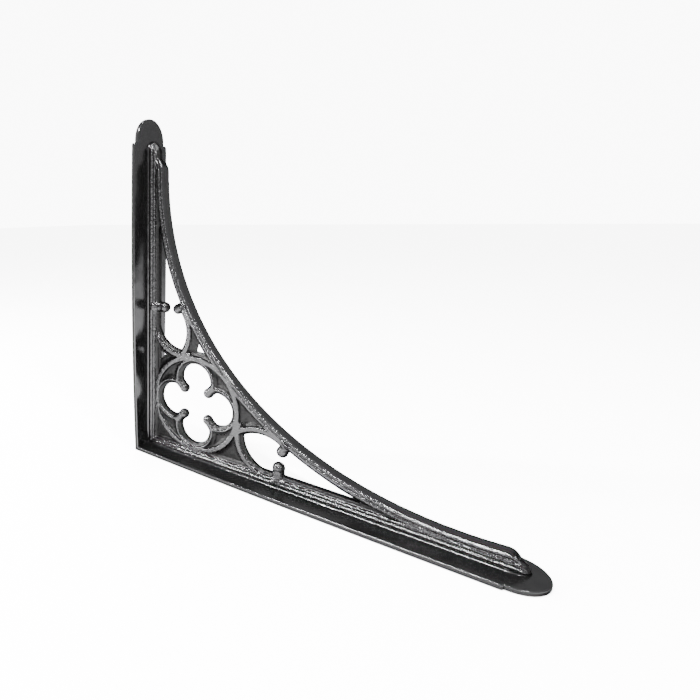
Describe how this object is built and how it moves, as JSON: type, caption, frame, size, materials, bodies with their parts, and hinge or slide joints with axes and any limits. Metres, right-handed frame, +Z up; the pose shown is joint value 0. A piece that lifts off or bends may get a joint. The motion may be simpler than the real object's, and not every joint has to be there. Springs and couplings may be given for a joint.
{
  "type": "decorative shelf bracket",
  "caption": "Cast metal shelf bracket in polished black: two flat straps in an L joined by Gothic tracery, with a quatrefoil ring in the corner and a hollow curved brace.",
  "frame": {"origin": "centre of the bounding box in plan, at the underside of the shelf strap", "axes": "+X along the shelf leg away from the corner, +Y across the straps' width, +Z up along the wall leg"},
  "size_m": [0.2, 0.0316, 0.2],
  "materials": {
    "polished_black": "glossy"
  },
  "bodies": {
    "root": {"bracket": "polished_black"}
  },
  "joints": []
}
